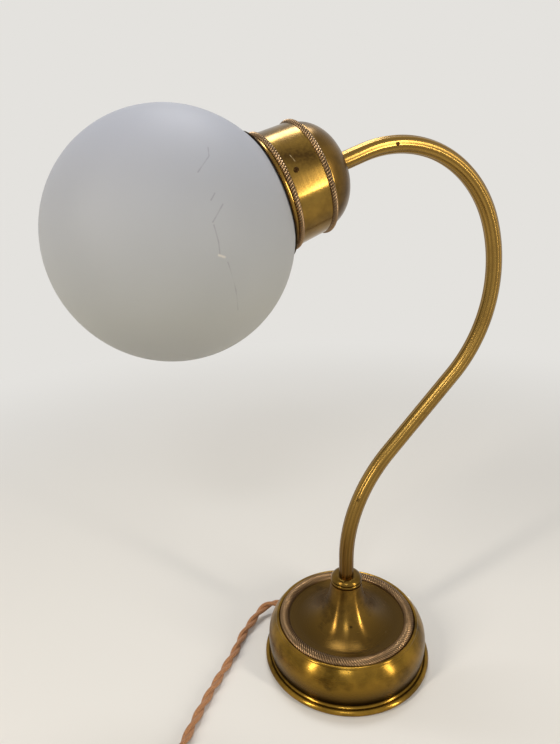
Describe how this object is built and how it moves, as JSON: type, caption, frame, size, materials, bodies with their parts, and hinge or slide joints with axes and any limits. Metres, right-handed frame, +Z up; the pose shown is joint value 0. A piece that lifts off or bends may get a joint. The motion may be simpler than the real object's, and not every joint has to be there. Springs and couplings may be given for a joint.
{
  "type": "table lamp",
  "caption": "Swan-neck table lamp: weighted round base, S-shaped reeded tube, domed gallery and opal glass globe, with a coiled braided cord and plug.",
  "frame": {"origin": "middle of the round base at the felt's underside, on the table", "axes": "+Z up; the globe hangs over -X and the tube bulges out over +X, in the plane y = 0"},
  "size_m": [0.3409, 0.2806, 0.4329],
  "materials": {
    "aged_brass": "aged, satin, tarnished in patches",
    "plain_brass": "turned, unlacquered",
    "screw_brass": "dulled",
    "cast_iron": "as cast",
    "plate_steel": "zinc plated",
    "felt": "pressed felt",
    "opal_glass": "satin, opal",
    "clear_glass": "clear",
    "ceramic": "glazed",
    "white_plastic": "moulded",
    "dark_plastic": "moulded",
    "spring_steel": "drawn wire",
    "bush_plastic": "moulded",
    "braided_flex": "braided cotton over two twisted cores",
    "wire_sheath": "extruded"
  },
  "bodies": {
    "lamp": {"base_skirt": "aged_brass", "base_dish": "aged_brass", "knurled_base_ring": "aged_brass", "base_collar": "aged_brass", "ballast_weight": "cast_iron", "bottom_plate": "plate_steel", "bottom_plate_screws": "plate_steel", "felt_pad": "felt", "stem_tube": "aged_brass", "stem_screw": "screw_brass", "stem_wires": "wire_sheath", "base_nipple": "plain_brass", "nipple_washer": "plate_steel", "nipple_nut": "plain_brass", "gallery_body": "aged_brass", "knurled_ring_front": "aged_brass", "knurled_ring_rear": "aged_brass", "globe_screws": "screw_brass", "dome_cap": "aged_brass", "glass_globe": "opal_glass", "head_washer": "plate_steel", "head_lock_nut": "plain_brass", "head_nipple": "plain_brass", "holder_cap": "dark_plastic", "holder_sleeve": "dark_plastic", "holder_insert": "ceramic", "holder_contact": "plain_brass", "bulb_base": "plain_brass", "bulb_glass": "clear_glass", "switch_housing": "white_plastic", "switch_bezel": "white_plastic", "switch_spring": "spring_steel", "switch_terminals": "plain_brass", "cord_bush": "bush_plastic", "inner_cord": "braided_flex", "cord_clamp_saddle": "dark_plastic", "cord_clamp_bar": "dark_plastic", "cord_clamp_screws": "plate_steel", "cord_lead": "braided_flex", "cord_coil": "braided_flex", "cord_tail": "braided_flex", "plug_body": "dark_plastic", "plug_pins": "plain_brass", "plug_screw": "dark_plastic"},
    "button": {"switch_button": "white_plastic"}
  },
  "joints": [
    {"name": "switch_press", "type": "slide", "parent": "lamp", "child": "button", "axis": [-0.9843, -0.1736, -0.033], "range_m": [0, 0.003], "stiffness_N_per_m": 600, "springref_m": -0.002, "deforming": ["switch_spring"]}
  ]
}
